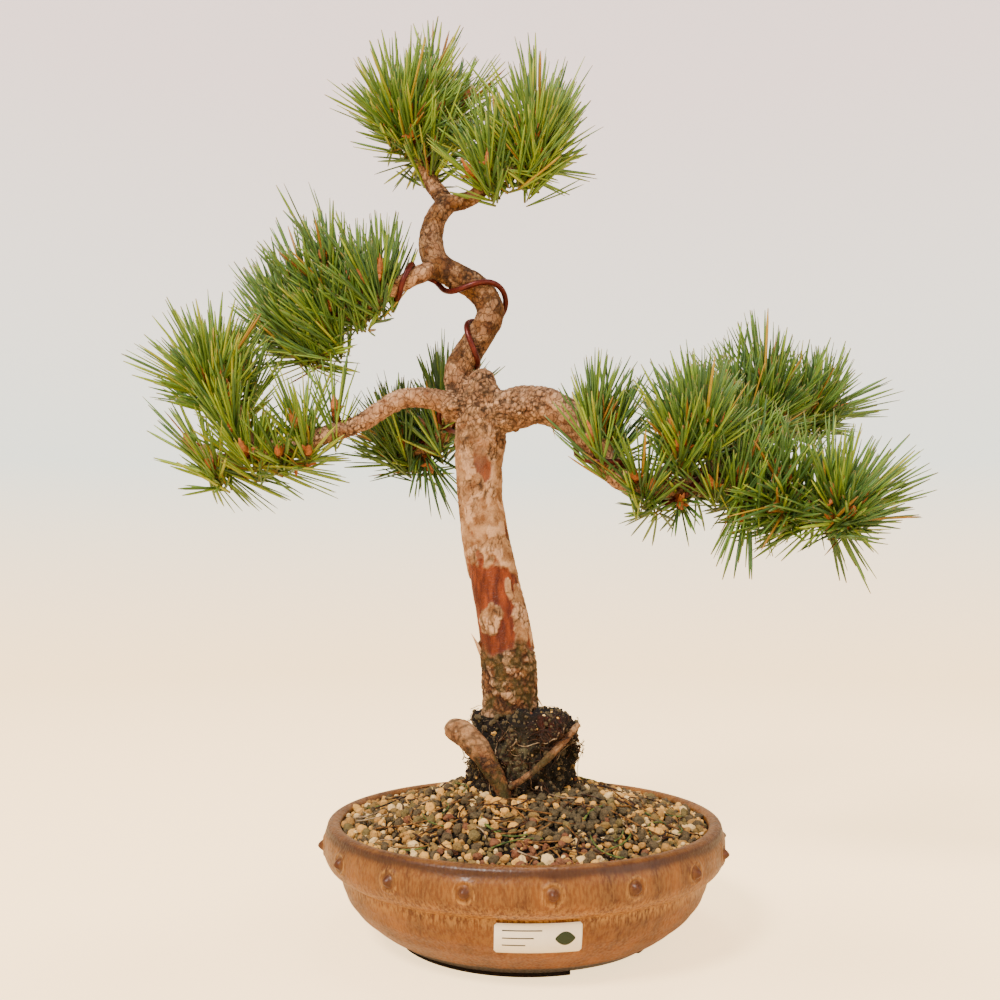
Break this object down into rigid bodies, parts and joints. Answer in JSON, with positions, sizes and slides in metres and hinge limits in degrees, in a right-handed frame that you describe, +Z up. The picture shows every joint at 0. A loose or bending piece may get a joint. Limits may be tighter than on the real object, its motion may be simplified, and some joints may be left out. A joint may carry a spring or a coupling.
{
  "type": "potted bonsai pine",
  "caption": "Wired pine bonsai with needle tufts on bare stems, standing in a round stoneware bowl of gravelly soil on a cut foot ring.",
  "frame": {"origin": "on the surface it stands on, on the bowl's axis, midway between the tree's sides", "axes": "+Z up along the bowl's axis; -Y is the front, with the sticker; +X is the tree's right-hand branch as seen from the front"},
  "size_m": [0.4162, 0.2095, 0.4789],
  "materials": {
    "glazed_stoneware": "satin",
    "sticker_paper": "matte",
    "screen_plastic": "matte",
    "anodised_wire": "satin",
    "soil_gravel": "matte",
    "root_earth": "matte",
    "bark": "matte",
    "pine_needles": "satin"
  },
  "bodies": {
    "root": {"pot": "glazed_stoneware", "sticker": "sticker_paper", "drain_screen": "screen_plastic", "screen_staple": "anodised_wire", "soil": "soil_gravel", "root_mass": "root_earth", "trunk": "bark", "cut_root": "bark", "surface_root": "bark", "leader": "bark", "right_branch": "bark", "right_side_stem": "bark", "right_upper_stem": "bark", "left_branch": "bark", "left_spur": "bark", "back_branch": "bark", "upper_left_branch": "bark", "crown_left_limb": "bark", "crown_right_limb": "bark", "leader_wire": "anodised_wire", "right_branch_wire": "anodised_wire", "back_branch_wire": "anodised_wire", "crown_left_needles": "pine_needles", "crown_middle_needles": "pine_needles", "crown_right_needles": "pine_needles", "upper_left_inner_needles": "pine_needles", "upper_left_middle_needles": "pine_needles", "upper_left_outer_needles": "pine_needles", "lower_left_outer_needles": "pine_needles", "lower_left_inner_needles": "pine_needles", "lower_left_hanging_needles": "pine_needles", "back_upper_needles": "pine_needles", "back_lower_needles": "pine_needles", "right_inner_needles": "pine_needles", "right_middle_needles": "pine_needles", "right_upper_needles": "pine_needles", "right_upper_outer_needles": "pine_needles", "right_outer_needles": "pine_needles", "right_hanging_needles": "pine_needles", "right_low_needles": "pine_needles"}
  },
  "joints": []
}
